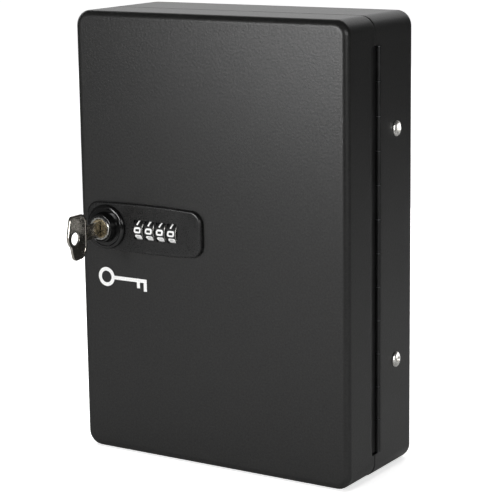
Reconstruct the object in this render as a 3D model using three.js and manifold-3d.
// A wall or desk key cabinet: a two-pan sheet-steel box with a piano hinge, numbered hook rails
// inside, and a four-dial combination lock with a turning knob and a key cylinder in its door.
//
// Millimetres. X runs to the right, Y into the cabinet, Z up. The origin is the centre of the
// flat base of the rear pan, so the door's front face is at negative Y.

import * as THREE from "three";
import { mergeVertices } from "three/addons/utils/BufferGeometryUtils.js";
import Module from "manifold-3d";

// ---------------------------------------------------------------- driving dimensions

const GAP = 0.3; // clearance between pieces that touch on the real object
const SHEET = 1.0; // steel sheet of both pans and of the hook panel

const CABINET = { width: 207, height: 300, front: -26, back: 26, corner: 10, edge: 4.4 };
const DOOR = { front: -61, back: -26.8, bottom: 0.5, top: 299.6 };
const RETURN_FLANGE = 8.5; // folded inwards round the rear pan's mouth
const HALF = CABINET.width / 2;
const INSIDE = HALF - SHEET;

const HINGE = {
  x: 102.9, y: -20.6, bottom: 16.8, knuckle: 22, knuckles: 12,
  barrel: 2.0, bore: 1.5, pin: 1.2, leaf: 0.8,
  bodyCut: -17.5, doorCut: -30, bodyLeafEnd: -8, doorLeafEnd: -42,
};
const HINGE_TOP = HINGE.bottom + HINGE.knuckle * HINGE.knuckles;

const PANEL = { front: -5, back: 18, bottom: 9, top: 291 };
const RAIL = { count: 5, first: 57, pitch: 50, halfWidth: 92, height: 14 };
const HOOK = { count: 8, pitch: 22, width: 3, reach: 13, rise: 9, stock: 1.6 };
const PANEL_SCREW = { y: 2.2, z: [73.7, 226.3], head: 5.1, dome: 2.0, shank: 2.5 };
const WALL_HOLE = { x: 75, z: [30, 281], radius: 3, access: 7 };

const LOCK_Z = 156.8; // height of the dial axle and of the knob
const PLATE = { left: -96, right: -4, bottom: 141.6, top: 173, front: -64, corner: 9, crown: 0.9 };
const HOUSING = { left: -97, right: -5, bottom: 141, top: 172.5, front: -59.7, back: -34.8, wall: 1.5 };
const COVER = { front: -34.5, back: -33 };

const DIAL = { first: -53.3, pitch: 8.9, count: 4, radius: 8.5, width: 7.3, axisY: -57 };
const WINDOW = { width: 7.9, height: 16.4 };
const CODE_DISC = { radius: 4, width: 1.0, notchHalf: 1.3, notchDepth: 1.3 };
const AXLE = { radius: 1.5, hole: 1.8, left: -61.7, right: -17.6 };
const FENCE = { front: -41.7, back: -39.7, tip: -52.6, halfHeight: 2, toothHalf: 0.9, toothWidth: 0.7 };

const KNOB = { x: -79.3, back: -64.3, front: -72.4, base: 15, rim: 9.5, shank: 9, shankEnd: -32 };
const TAIL = { square: 6.5, end: -21.4, stud: 2.5, studEnd: -15.8 };
const PLUG = { face: -72.8, headRadius: 7.7, headEnd: -70.6, radius: 6, end: -42 };
const CAM = { front: -23.2, back: -21.2, length: 19.5, halfWidth: 5, fit: 0.3 };
const KEY = { thick: 2, bladeHalf: 4.3, bladeLength: 25.8, neckHalf: 5.1, neckLength: 14, hole: 4.2 };
const BUTTON = { x: -13, radius: 2.2, collar: 3.4, spring: 4.4 };

// ---------------------------------------------------------------- materials

const finish = (color, roughness, metalness) => ({ color, roughness, metalness });
const POWDER_COAT = finish(0x17181a, 0.62, 0.05);
const LOCK_BLACK = finish(0x0c0c0d, 0.3, 0.1);
const DIAL_BLACK = finish(0x101011, 0.35, 0.0);
const NICKEL = finish(0xb8b9b6, 0.25, 1.0);
const BRASS = finish(0xb99a5b, 0.3, 1.0);
const ZINC = finish(0x9a9da0, 0.42, 1.0);
const SPRING_STEEL = finish(0x85888c, 0.35, 1.0);
const PLASTIC = finish(0x2b2c2e, 0.5, 0.0);

// ---------------------------------------------------------------- solids and booleans

const wasm = await Module();
wasm.setup();

// A closed geometry as a solid that can be joined and cut.
function solid(geometry) {
  const loose = geometry.index ? geometry.toNonIndexed() : geometry;
  const bare = new THREE.BufferGeometry();
  bare.setAttribute("position", loose.getAttribute("position"));
  const merged = mergeVertices(bare, 1e-4);
  return new wasm.Manifold(
    new wasm.Mesh({
      numProp: 3,
      vertProperties: merged.attributes.position.array,
      triVerts: new Uint32Array(merged.index.array),
    }),
  );
}

function geometryOf(shape) {
  const mesh = shape.getMesh();
  const geometry = new THREE.BufferGeometry();
  geometry.setAttribute("position", new THREE.BufferAttribute(mesh.vertProperties, 3));
  geometry.setIndex(new THREE.BufferAttribute(mesh.triVerts, 1));
  geometry.computeVertexNormals();
  return geometry;
}

const join = (first, ...others) => others.reduce((sum, other) => sum.add(other), first);
const cut = (first, ...others) => others.reduce((rest, other) => rest.subtract(other), first);

function box(x0, x1, y0, y1, z0, z1) {
  const geometry = new THREE.BoxGeometry(x1 - x0, y1 - y0, z1 - z0);
  return solid(geometry.translate((x0 + x1) / 2, (y0 + y1) / 2, (z0 + z1) / 2));
}

// A flat outline drawn in X and Z, given its thickness along Y.
function sheet(outline, y0, y1, curveSegments = 4) {
  const geometry = new THREE.ExtrudeGeometry(outline, {
    depth: y1 - y0, bevelEnabled: false, curveSegments,
  });
  return solid(geometry.rotateX(Math.PI / 2).translate(0, y1, 0));
}

// A flat outline drawn in Y and Z, given its thickness along X.
function slice(outline, x0, x1, curveSegments = 4) {
  const geometry = new THREE.ExtrudeGeometry(outline, {
    depth: x1 - x0, bevelEnabled: false, curveSegments,
  });
  const turn = new THREE.Matrix4().makeBasis(
    new THREE.Vector3(0, 1, 0), new THREE.Vector3(0, 0, 1), new THREE.Vector3(1, 0, 0),
  );
  return solid(geometry.applyMatrix4(turn).translate(x0, 0, 0));
}

// A turned piece along Y: its profile lists radius and Y, from the lowest Y up, axis to axis.
function turnedY(profile, x, z, segments = 32) {
  const points = profile.map(([radius, y]) => new THREE.Vector2(radius, y));
  return solid(new THREE.LatheGeometry(points, segments).translate(x, 0, z));
}

// The same along X or Z.
function turnedX(profile, y, z, segments = 24) {
  const points = profile.map(([radius, x]) => new THREE.Vector2(radius, x));
  return solid(new THREE.LatheGeometry(points, segments).rotateZ(-Math.PI / 2).translate(0, y, z));
}

function turnedZ(profile, x, y, segments = 12) {
  const points = profile.map(([radius, z]) => new THREE.Vector2(radius, z));
  return solid(new THREE.LatheGeometry(points, segments).rotateX(Math.PI / 2).translate(x, y, 0));
}

const rod = (radius, from, to) => [[0, from], [radius, from], [radius, to], [0, to]];

// A coil spring along Y.
function coilY(radius, wire, from, to, x, z, turns) {
  const points = [];
  const steps = turns * 8;
  for (let step = 0; step <= steps; step += 1) {
    const angle = (step / 8) * 2 * Math.PI;
    const y = from + wire + ((to - from - 2 * wire) * step) / steps;
    points.push(new THREE.Vector3(x + radius * Math.cos(angle), y, z + radius * Math.sin(angle)));
  }
  const section = new THREE.Shape().absarc(0, 0, wire, 0, 2 * Math.PI);
  const path = new THREE.CatmullRomCurve3(points);
  return solid(
    new THREE.ExtrudeGeometry(section, { steps, extrudePath: path, curveSegments: 2 }),
  );
}

// A rectangle with rounded corners, for sheet() and for the pans.
function roundedRect(x0, x1, z0, z1, radius) {
  const outline = new THREE.Shape();
  outline.absarc(x1 - radius, z0 + radius, radius, -Math.PI / 2, 0);
  outline.absarc(x1 - radius, z1 - radius, radius, 0, Math.PI / 2);
  outline.absarc(x0 + radius, z1 - radius, radius, Math.PI / 2, Math.PI);
  outline.absarc(x0 + radius, z0 + radius, radius, Math.PI, 1.5 * Math.PI);
  return outline;
}

// A block with rounded corners along Y and rounded edges round both ends.
function softBlock(inset, z0, z1, y0, y1) {
  const edge = CABINET.edge - inset;
  const corner = CABINET.corner - inset;
  const outline = roundedRect(-HALF + inset, HALF - inset, z0 + inset, z1 - inset, corner);
  const geometry = new THREE.ExtrudeGeometry(outline, {
    depth: y1 - y0 - 2 * edge, bevelEnabled: true, bevelThickness: edge, bevelSize: edge,
    bevelOffset: -edge, bevelSegments: 3, curveSegments: 3,
  });
  return solid(geometry.rotateX(Math.PI / 2).translate(0, y1 - edge, 0));
}

const EXTRA = 30; // how far a cutting tool reaches past the piece that it cuts

// ---------------------------------------------------------------- the rear pan and its fittings

const screwSpots = PANEL_SCREW.z.map((z) => ({ y: PANEL_SCREW.y, z }));

function bodyShell() {
  const { front, back, height } = CABINET;
  const outer = cut(
    softBlock(0, 0, height, front - EXTRA, back),
    box(-HALF - 1, HALF + 1, front - EXTRA - 1, front, -1, height + 1),
  );
  const flangeFace = box(
    -HALF + RETURN_FLANGE, HALF + 1, front - 1, front + SHEET + 1, RETURN_FLANGE, height - RETURN_FLANGE,
  );
  const hollow = cut(
    softBlock(SHEET, 0, height, front - EXTRA, back - SHEET),
    box(-HALF, HALF, front - EXTRA - 1, front + SHEET, -1, height + 1),
  );
  const hingeSlot = box(
    HALF - SHEET - 3, HALF + 1, front - 1, HINGE.bodyCut, HINGE.bottom - 0.5, HINGE_TOP + 0.5,
  );
  const screwHoles = screwSpots.flatMap(({ y, z }) => [-1, 1].map((side) => {
    const [near, far] = side > 0 ? [INSIDE - 2, HALF + 2] : [-HALF - 2, -INSIDE + 2];
    return turnedX(rod(PANEL_SCREW.shank + 0.4, near, far), y, z, 16);
  }));
  const wallHoles = wallHoleTools(WALL_HOLE.radius, back - 3, back + 1);
  return cut(outer, hollow, flangeFace, hingeSlot, ...screwHoles, ...wallHoles);
}

// Cutters for the four wall-fixing holes.
function wallHoleTools(radius, y0, y1) {
  return WALL_HOLE.z.flatMap((z) =>
    [-WALL_HOLE.x, WALL_HOLE.x].map((x) => turnedY(rod(radius, y0, y1), x, z, 20)));
}

// The hook panel: a flat sheet with a flange folded forwards on each side.
function hookPanel() {
  const { front, back, bottom, top } = PANEL;
  const reach = INSIDE - GAP;
  const block = box(-reach, reach, front, back, bottom, top);
  const hollow = box(
    -reach + SHEET, reach - SHEET, front - 1, back - SHEET, bottom - 1, top + 1,
  );
  const screwHoles = screwSpots.map(({ y, z }) =>
    turnedX(rod(PANEL_SCREW.shank + 0.4, -HALF, HALF), y, z, 16));
  return cut(block, hollow, ...screwHoles, ...wallHoleTools(WALL_HOLE.access, back - 3, back + 1));
}

// One rail with its row of hooks, slanting up and forwards.
function hookRail(index) {
  const z = RAIL.first + RAIL.pitch * index;
  const face = PANEL.back - SHEET - GAP;
  const strip = box(
    -RAIL.halfWidth, RAIL.halfWidth, face - SHEET, face, z - RAIL.height / 2, z + RAIL.height / 2,
  );
  const tip = face - SHEET - HOOK.reach;
  const root = face - SHEET / 2;
  const side = new THREE.Shape();
  side.moveTo(root, z - 3);
  side.lineTo(root, z - 3 + HOOK.stock);
  side.lineTo(tip, z - 3 + HOOK.rise);
  side.lineTo(tip - HOOK.stock * 0.5, z - 3 + HOOK.rise - HOOK.stock);
  const start = (-(HOOK.count - 1) / 2) * HOOK.pitch;
  const hooks = Array.from({ length: HOOK.count }, (_, hook) => {
    const x = start + hook * HOOK.pitch;
    return slice(side, x - HOOK.width / 2, x + HOOK.width / 2);
  });
  return join(strip, ...hooks);
}

// A domed screw through the side wall; side is 1 on the right, -1 on the left.
function panelScrew(side, { y, z }) {
  const seat = HALF + GAP;
  const profile = [
    [0, seat - 8.5], [PANEL_SCREW.shank, seat - 8.5], [PANEL_SCREW.shank, seat],
    [PANEL_SCREW.head, seat], [PANEL_SCREW.head, seat + 0.6],
    [PANEL_SCREW.head * 0.72, seat + PANEL_SCREW.dome * 0.8],
    [PANEL_SCREW.head * 0.36, seat + PANEL_SCREW.dome], [0, seat + PANEL_SCREW.dome],
  ];
  const screw = turnedX(profile, 0, 0, 20);
  const slots = [[5.4, 1.3], [1.3, 5.4]].map(([long, short]) =>
    box(seat + 0.9, seat + 5, -long / 2, long / 2, -short / 2, short / 2));
  return mirrored(cut(screw, ...slots), side, y, z);
}

function panelNut(side, { y, z }) {
  const flat = INSIDE - GAP - SHEET - GAP;
  const profile = rod(4.6, flat - 4, flat);
  const nut = cut(turnedX(profile, 0, 0, 6), turnedX(rod(PANEL_SCREW.shank + 0.3, flat - 5, flat + 1), 0, 0, 14));
  return mirrored(nut, side, y, z);
}

// Moves a piece made on the right wall to its place, turned round to the left wall if need be.
function mirrored(shape, side, y, z) {
  const geometry = geometryOf(shape);
  if (side < 0) geometry.rotateZ(Math.PI);
  return solid(geometry.translate(0, y, z));
}

// ---------------------------------------------------------------- the hinge

// One leaf: a strip inside a side wall, tangent to the barrel, with every other knuckle on it.
function hingeLeaf(first, stripStart, stripEnd) {
  const leafIn = HINGE.x - HINGE.barrel;
  const leafOut = leafIn + HINGE.leaf;
  const [near, far] = [Math.min(stripStart, stripEnd), Math.max(stripStart, stripEnd)];
  const strip = box(leafIn, leafOut, near, far, HINGE.bottom, HINGE_TOP);
  const knuckles = [];
  for (let index = first; index < HINGE.knuckles; index += 2) {
    const z0 = HINGE.bottom + index * HINGE.knuckle + GAP / 2;
    const z1 = z0 + HINGE.knuckle - GAP;
    const web = box(
      leafIn, leafOut, Math.min(HINGE.y, near + 0.1), Math.max(HINGE.y, far - 0.1), z0, z1,
    );
    knuckles.push(web, turnedZ(rod(HINGE.barrel, z0, z1), HINGE.x, HINGE.y, 16));
  }
  const bore = turnedZ(rod(HINGE.bore, HINGE.bottom - 1, HINGE_TOP + 1), HINGE.x, HINGE.y, 16);
  return cut(join(strip, ...knuckles), bore);
}

const LEAF_START = HINGE.barrel + 0.4; // from the hinge axis to the strip's edge

// ---------------------------------------------------------------- the door

function doorShell() {
  const { front, back, bottom, top } = DOOR;
  const outer = cut(
    softBlock(0, bottom, top, front, back + EXTRA),
    box(-HALF - 1, HALF + 1, back, back + EXTRA + 1, bottom - 1, top + 1),
  );
  const hollow = softBlock(SHEET, bottom, top, front + SHEET, back + EXTRA);
  const hingeSlot = box(
    HALF - SHEET - 3, HALF + 1, HINGE.doorCut, back + 1, HINGE.bottom - 0.5, HINGE_TOP + 0.5,
  );
  return cut(outer, hollow, hingeSlot, ...lockHoles(front - 1, front + SHEET + 1, 0.9));
}

const dialX = (index) => DIAL.first + DIAL.pitch * index;
const LAST_DIAL = dialX(DIAL.count - 1);

// Cutters for what passes through the door and the housing: the dials, the knob and two screws.
function lockHoles(y0, y1, room) {
  const halfHeight = Math.sqrt(DIAL.radius ** 2 - (y1 - 1 - DIAL.axisY) ** 2) + room;
  const dials = box(
    DIAL.first - DIAL.width / 2 - 1.5, LAST_DIAL + DIAL.width / 2 + 1.5,
    y0, y1, LOCK_Z - halfHeight, LOCK_Z + halfHeight,
  );
  const shank = turnedY(rod(KNOB.shank + 0.4, y0, y1), KNOB.x, LOCK_Z, 32);
  const screws = PLATE_SCREWS.map(([x, z]) => turnedY(rod(1.7, y0, y1), x, z, 12));
  return [dials, shank, ...screws];
}

// ---------------------------------------------------------------- the lock's fixed pieces

const PLATE_SCREWS = [[-12.5, 148.5], [-66.3, 146.3]];
const COVER_SCREWS = [[-92.2, 145.9], [-9.8, 167.6]];

// The raised lock plate: straight ends with round corners, crowned top and bottom edges.
function plateOutline() {
  const { left, right, bottom, top, corner, crown } = PLATE;
  const middle = (left + right) / 2;
  const outline = new THREE.Shape();
  outline.absarc(right - corner, bottom + corner, corner, -Math.PI / 2, 0);
  outline.absarc(right - corner, top - corner, corner, 0, Math.PI / 2);
  outline.quadraticCurveTo(middle, top + 2 * crown, left + corner, top);
  outline.absarc(left + corner, top - corner, corner, Math.PI / 2, Math.PI);
  outline.absarc(left + corner, bottom + corner, corner, Math.PI, 1.5 * Math.PI);
  outline.quadraticCurveTo(middle, bottom - 2 * crown, right - corner, bottom);
  return outline;
}

function lockFaceplate() {
  const back = DOOR.front - GAP;
  const windows = Array.from({ length: DIAL.count }, (_, index) =>
    box(
      dialX(index) - WINDOW.width / 2, dialX(index) + WINDOW.width / 2, PLATE.front - 1, back + 1,
      LOCK_Z - WINDOW.height / 2, LOCK_Z + WINDOW.height / 2,
    ));
  const shank = turnedY(rod(KNOB.shank + 0.4, PLATE.front - 1, back + 1), KNOB.x, LOCK_Z, 32);
  const screws = PLATE_SCREWS.map(([x, z]) => turnedY(rod(1.7, back - 1.9, back + 1), x, z, 12));
  return cut(sheet(plateOutline(), PLATE.front, back), ...windows, shank, ...screws);
}

function lockHousing() {
  const { left, right, bottom, top, front, back, wall } = HOUSING;
  const tray = cut(
    box(left, right, front, back, bottom, top),
    box(left + wall, right - wall, front + wall, back + 1, bottom + wall, top - wall),
  );
  const lugs = [[AXLE.left, AXLE.left + 2.5], [AXLE.right - 2.5, AXLE.right]].map(([x0, x1]) =>
    box(x0, x1, front + 0.5, -48.5, LOCK_Z - 6, LOCK_Z + 6));
  const bosses = COVER_SCREWS.map(([x, z]) => {
    const [x0, x1] = x < KNOB.x ? [left + 0.5, x + 2.8] : [x - 2.8, right - 0.5];
    const [z0, z1] = z < LOCK_Z ? [bottom + 0.5, z + 2.8] : [z - 2.8, top - 0.5];
    return box(x0, x1, front + 0.5, back, z0, z1);
  });
  const bossHoles = COVER_SCREWS.map(([x, z]) => turnedY(rod(1.5, back - 9, back + 1), x, z, 12));
  const axleHole = turnedX(rod(AXLE.hole, AXLE.left - 1, AXLE.right + 1), DIAL.axisY, LOCK_Z, 16);
  return cut(
    join(tray, ...lugs, ...bosses), axleHole, ...bossHoles, ...lockHoles(front - 1, front + wall + 1, 0.9),
  );
}

function lockRearCover() {
  const { left, right, bottom, top } = HOUSING;
  const outline = roundedRect(left, right, bottom, top, 2);
  const shank = turnedY(rod(KNOB.shank + 0.4, COVER.front - 1, COVER.back + 1), KNOB.x, LOCK_Z, 32);
  const button = turnedY(rod(BUTTON.radius + 0.4, COVER.front - 1, COVER.back + 1), BUTTON.x, LOCK_Z, 16);
  const screws = COVER_SCREWS.map(([x, z]) =>
    turnedY(rod(1.5, COVER.front - 1, COVER.back + 1), x, z, 12));
  return cut(sheet(outline, COVER.front, COVER.back, 2), shank, button, ...screws);
}

// A small pan-head screw whose head is at the high-Y end.
function smallScrew([x, z], tip, seat, headRadius, shank) {
  const screw = turnedY(
    [[0, tip], [shank, tip], [shank, seat], [headRadius, seat], [headRadius, seat + 1],
      [headRadius * 0.7, seat + 1.5], [0, seat + 1.5]], x, z, 14,
  );
  const slots = [[3, 0.7], [0.7, 3]].map(([wide, tall]) =>
    box(x - wide / 2, x + wide / 2, seat + 0.8, seat + 3, z - tall / 2, z + tall / 2));
  return cut(screw, ...slots);
}

// A comb of four spring fingers that rest in the dials' detents from above.
function detentSpring() {
  const roof = HOUSING.top - HOUSING.wall - GAP;
  const left = DIAL.first - DIAL.width / 2;
  const right = LAST_DIAL + DIAL.width / 2;
  const strip = box(left, right, -50.6, -46, roof - 0.6, roof);
  const fingers = Array.from({ length: DIAL.count }, (_, index) => {
    const x = dialX(index);
    return join(
      box(x - 2, x + 2, -57.2, -50, roof - 0.6, roof),
      box(x - 2, x + 2, -57.2, -56.6, LOCK_Z + DIAL.radius + 0.5, roof),
    );
  });
  return join(strip, ...fingers);
}

// ---------------------------------------------------------------- the lock's moving pieces

function dial(index) {
  const x0 = dialX(index) - DIAL.width / 2;
  const x1 = x0 + DIAL.width;
  const rim = 0.5;
  const wheel = turnedX(
    [[0, x0], [DIAL.radius - rim, x0], [DIAL.radius, x0 + rim], [DIAL.radius, x1 - rim],
      [DIAL.radius - rim, x1], [0, x1]], DIAL.axisY, LOCK_Z, 40,
  );
  return cut(wheel, turnedX(rod(AXLE.hole, x0 - 1, x1 + 1), DIAL.axisY, LOCK_Z, 16));
}

// The coded disc beside each dial, with its gate towards the fence.
function codeDisc(index) {
  const x = dialX(index) + DIAL.pitch / 2;
  const [x0, x1] = [x - CODE_DISC.width / 2, x + CODE_DISC.width / 2];
  const rim = DIAL.axisY + CODE_DISC.radius;
  const gate = box(
    x0 - 1, x1 + 1, rim - CODE_DISC.notchDepth, rim + 1,
    LOCK_Z - CODE_DISC.notchHalf, LOCK_Z + CODE_DISC.notchHalf,
  );
  const disc = turnedX(rod(CODE_DISC.radius, x0, x1), DIAL.axisY, LOCK_Z, 28);
  return cut(disc, gate, turnedX(rod(AXLE.hole, x0 - 1, x1 + 1), DIAL.axisY, LOCK_Z, 16));
}

// The fence: a bar behind the dials with one tooth for each gate.
function fenceBar() {
  const spine = box(
    AXLE.left, AXLE.right, FENCE.front, FENCE.back, LOCK_Z - FENCE.halfHeight, LOCK_Z + FENCE.halfHeight,
  );
  const teeth = Array.from({ length: DIAL.count }, (_, index) => {
    const x = dialX(index) + DIAL.pitch / 2;
    return box(
      x - FENCE.toothWidth / 2, x + FENCE.toothWidth / 2, FENCE.tip, FENCE.front + 0.5,
      LOCK_Z - FENCE.toothHalf, LOCK_Z + FENCE.toothHalf,
    );
  });
  return join(spine, ...teeth);
}

function fenceSpring(x) {
  return coilY(1.1, 0.22, FENCE.front - GAP - 4.7, FENCE.front - GAP, x, LOCK_Z, 4);
}

function knob() {
  const { x, back, front, base, rim, shank, shankEnd } = KNOB;
  const body = turnedY(
    [[0, front], [rim - 0.8, front], [rim, front + 0.6], [rim + 1.9, front + 3.6],
      [base - 1.4, back - 1.6], [base, back - 0.9], [base, back], [shank, back],
      [shank, shankEnd], [0, shankEnd]], x, LOCK_Z, 40,
  );
  const half = TAIL.square / 2;
  const tail = box(x - half, x + half, shankEnd - 0.5, TAIL.end, LOCK_Z - half, LOCK_Z + half);
  const stud = turnedY(rod(TAIL.stud, TAIL.end - 0.5, TAIL.studEnd), x, LOCK_Z, 14);
  const bore = turnedY(
    [[0, front - 1], [PLUG.headRadius + GAP, front - 1], [PLUG.headRadius + GAP, PLUG.headEnd + GAP],
      [PLUG.radius + GAP, PLUG.headEnd + GAP], [PLUG.radius + GAP, PLUG.end + 1], [0, PLUG.end + 1]],
    x, LOCK_Z, 32,
  );
  return cut(join(body, tail, stud), bore);
}

function cylinderPlug() {
  const { face, headRadius, headEnd, radius, end } = PLUG;
  const plug = turnedY(
    [[0, face], [headRadius - 0.5, face], [headRadius, face + 0.5], [headRadius, headEnd],
      [radius, headEnd], [radius, end], [0, end]], KNOB.x, LOCK_Z, 32,
  );
  const halfWidth = KEY.thick / 2 + GAP;
  const keyway = box(
    KNOB.x - halfWidth, KNOB.x + halfWidth, face - 1, face + KEY.bladeLength + 1,
    LOCK_Z - KEY.bladeHalf - GAP, LOCK_Z + KEY.bladeHalf + GAP,
  );
  return cut(plug, keyway);
}

// The key, flat in the Y-Z plane: blade, neck and a shield-shaped bow with a ring hole.
function key() {
  const neckStart = PLUG.face - GAP;
  const neckEnd = neckStart - KEY.neckLength;
  const z = LOCK_Z;
  const bow = new THREE.Shape();
  bow.moveTo(neckEnd, z - 9.5);
  bow.quadraticCurveTo(neckEnd - 2.6, z - 16, neckEnd - 6, z - 16.6);
  bow.lineTo(neckEnd - 11.8, z - 17);
  bow.quadraticCurveTo(neckEnd - 14.4, z - 16.4, neckEnd - 15.2, z - 13.8);
  bow.lineTo(neckEnd - 16.8, z - 7.4);
  bow.quadraticCurveTo(neckEnd - 20.4, z - 4.4, neckEnd - 20, z + 0.4);
  bow.lineTo(neckEnd - 18, z + 9.6);
  bow.quadraticCurveTo(neckEnd - 17.2, z + 13.2, neckEnd - 14.6, z + 13.2);
  bow.lineTo(neckEnd - 5.4, z + 13.2);
  bow.quadraticCurveTo(neckEnd - 2.4, z + 12.8, neckEnd, z + 8);
  const half = KEY.thick / 2;
  const [x0, x1] = [KNOB.x - half, KNOB.x + half];
  const neck = box(x0, x1, neckEnd - 1, neckStart, z - KEY.neckHalf - 0.5, z + KEY.neckHalf - 0.5);
  const bladeTip = PLUG.face + KEY.bladeLength;
  const blade = new THREE.Shape();
  blade.moveTo(neckStart - 1, z - KEY.bladeHalf);
  blade.lineTo(bladeTip - 3, z - KEY.bladeHalf);
  blade.lineTo(bladeTip, z - 1.5);
  blade.lineTo(bladeTip, z + 1);
  blade.lineTo(bladeTip - 3.2, z + KEY.bladeHalf - 1);
  const bits = [2.2, 0.8, 2.6, 1.4, 2.0];
  bits.forEach((depth, index) => {
    const at = bladeTip - 5 - index * 3.6;
    blade.lineTo(at, z + KEY.bladeHalf - depth);
    blade.lineTo(at - 1.2, z + KEY.bladeHalf - depth);
  });
  blade.lineTo(neckStart - 1, z + KEY.bladeHalf);
  const hole = turnedX(rod(KEY.hole, x0 - 1, x1 + 1), neckEnd - 12.4, z - 2.2, 20);
  return cut(join(slice(bow, x0, x1, 3), neck, slice(blade, x0, x1)), hole);
}

// The square-hole tail pieces: spacer, latch cam, washer and nut.
function squareHole(y0, y1) {
  const half = TAIL.square / 2 + CAM.fit;
  return box(KNOB.x - half, KNOB.x + half, y0 - 1, y1 + 1, LOCK_Z - half, LOCK_Z + half);
}

function camSpacer() {
  const [y0, y1] = [KNOB.shankEnd + GAP, CAM.front - GAP];
  return cut(turnedY(rod(6.5, y0, y1), KNOB.x, LOCK_Z, 24), squareHole(y0, y1));
}

function latchCam() {
  const { front, back, length, halfWidth } = CAM;
  const arm = new THREE.Shape();
  const end = LOCK_Z + length - 2;
  arm.absarc(KNOB.x, LOCK_Z, halfWidth + 2, Math.PI * 0.78, Math.PI * 2.22);
  arm.lineTo(KNOB.x + halfWidth, end);
  arm.absarc(KNOB.x + halfWidth - 2, end, 2, 0, Math.PI / 2);
  arm.absarc(KNOB.x - halfWidth + 2, end, 2, Math.PI / 2, Math.PI);
  return cut(sheet(arm, front, back, 6), squareHole(front, back));
}

function camWasher() {
  const [y0, y1] = [CAM.back + GAP, CAM.back + GAP + 0.8];
  return cut(
    turnedY(rod(5.5, y0, y1), KNOB.x, LOCK_Z, 20),
    turnedY(rod(TAIL.stud + GAP, y0 - 1, y1 + 1), KNOB.x, LOCK_Z, 14),
  );
}

function camNut() {
  const [y0, y1] = [CAM.back + 2 * GAP + 0.8, CAM.back + 2 * GAP + 4.3];
  return cut(
    turnedY(rod(4.6, y0, y1), KNOB.x, LOCK_Z, 6),
    turnedY(rod(TAIL.stud + GAP, y0 - 1, y1 + 1), KNOB.x, LOCK_Z, 14),
  );
}

// The code-change button in the rear cover, with a collar that keeps it in.
function codeButton() {
  const collarBack = COVER.front - GAP;
  return turnedY(
    [[0, collarBack - 1.2], [BUTTON.collar, collarBack - 1.2], [BUTTON.collar, collarBack],
      [BUTTON.radius, collarBack], [BUTTON.radius, COVER.back + 1.6],
      [BUTTON.radius - 0.5, COVER.back + 2], [0, COVER.back + 2]], BUTTON.x, LOCK_Z, 16,
  );
}

function codeButtonSpring() {
  const back = COVER.front - 2 * GAP - 1.2;
  return coilY(2.0, 0.25, back - BUTTON.spring, back, BUTTON.x, LOCK_Z, 4);
}

// ---------------------------------------------------------------- the assembly

const cabinet = new THREE.Group();

function place(name, look, shape) {
  const mesh = new THREE.Mesh(geometryOf(shape), new THREE.MeshStandardMaterial(look));
  mesh.name = name;
  cabinet.add(mesh);
}

place("body_shell", POWDER_COAT, bodyShell());
place("hook_panel", POWDER_COAT, hookPanel());
for (let index = 0; index < RAIL.count; index += 1) {
  place(`hook_rail_${index + 1}`, ZINC, hookRail(index));
}
for (const [side, sideName] of [[1, "right"], [-1, "left"]]) {
  screwSpots.forEach((spot, index) => {
    const height = ["lower", "upper"][index];
    place(`panel_screw_${sideName}_${height}`, NICKEL, panelScrew(side, spot));
    place(`panel_nut_${sideName}_${height}`, ZINC, panelNut(side, spot));
  });
}

place("hinge_leaf_body", POWDER_COAT, hingeLeaf(0, HINGE.y + LEAF_START, HINGE.bodyLeafEnd));
place("hinge_leaf_door", POWDER_COAT, hingeLeaf(1, HINGE.y - LEAF_START, HINGE.doorLeafEnd));
place("hinge_pin", SPRING_STEEL, turnedZ(
  rod(HINGE.pin, HINGE.bottom - 0.2, HINGE_TOP + 0.2), HINGE.x, HINGE.y, 12,
));

place("door_shell", POWDER_COAT, doorShell());
place("lock_faceplate", LOCK_BLACK, lockFaceplate());
place("lock_housing", ZINC, lockHousing());
place("lock_rear_cover", PLASTIC, lockRearCover());
COVER_SCREWS.forEach((spot, index) => {
  place(`cover_screw_${index + 1}`, ZINC, smallScrew(spot, -42, COVER.back + GAP, 2.6, 1.1));
});
PLATE_SCREWS.forEach((spot, index) => {
  const seat = HOUSING.front + HOUSING.wall + GAP;
  place(`faceplate_screw_${index + 1}`, ZINC, smallScrew(spot, -62.8, seat, 2.5, 1.3));
});
place("dial_axle", SPRING_STEEL, turnedX(
  rod(AXLE.radius, AXLE.left, AXLE.right), DIAL.axisY, LOCK_Z, 16,
));
place("detent_spring", SPRING_STEEL, detentSpring());
for (let index = 0; index < DIAL.count; index += 1) {
  place(`dial_${index + 1}`, DIAL_BLACK, dial(index));
  place(`code_disc_${index + 1}`, BRASS, codeDisc(index));
}
place("fence_bar", ZINC, fenceBar());
place("fence_spring_left", SPRING_STEEL, fenceSpring(AXLE.left + 1.3));
place("fence_spring_right", SPRING_STEEL, fenceSpring(AXLE.right - 1.3));

place("knob", LOCK_BLACK, knob());
place("cylinder_plug", BRASS, cylinderPlug());
place("key", NICKEL, key());
place("cam_spacer", ZINC, camSpacer());
place("latch_cam", ZINC, latchCam());
place("cam_washer", ZINC, camWasher());
place("cam_nut", ZINC, camNut());
place("code_button", PLASTIC, codeButton());
place("code_button_spring", SPRING_STEEL, codeButtonSpring());

export default cabinet;
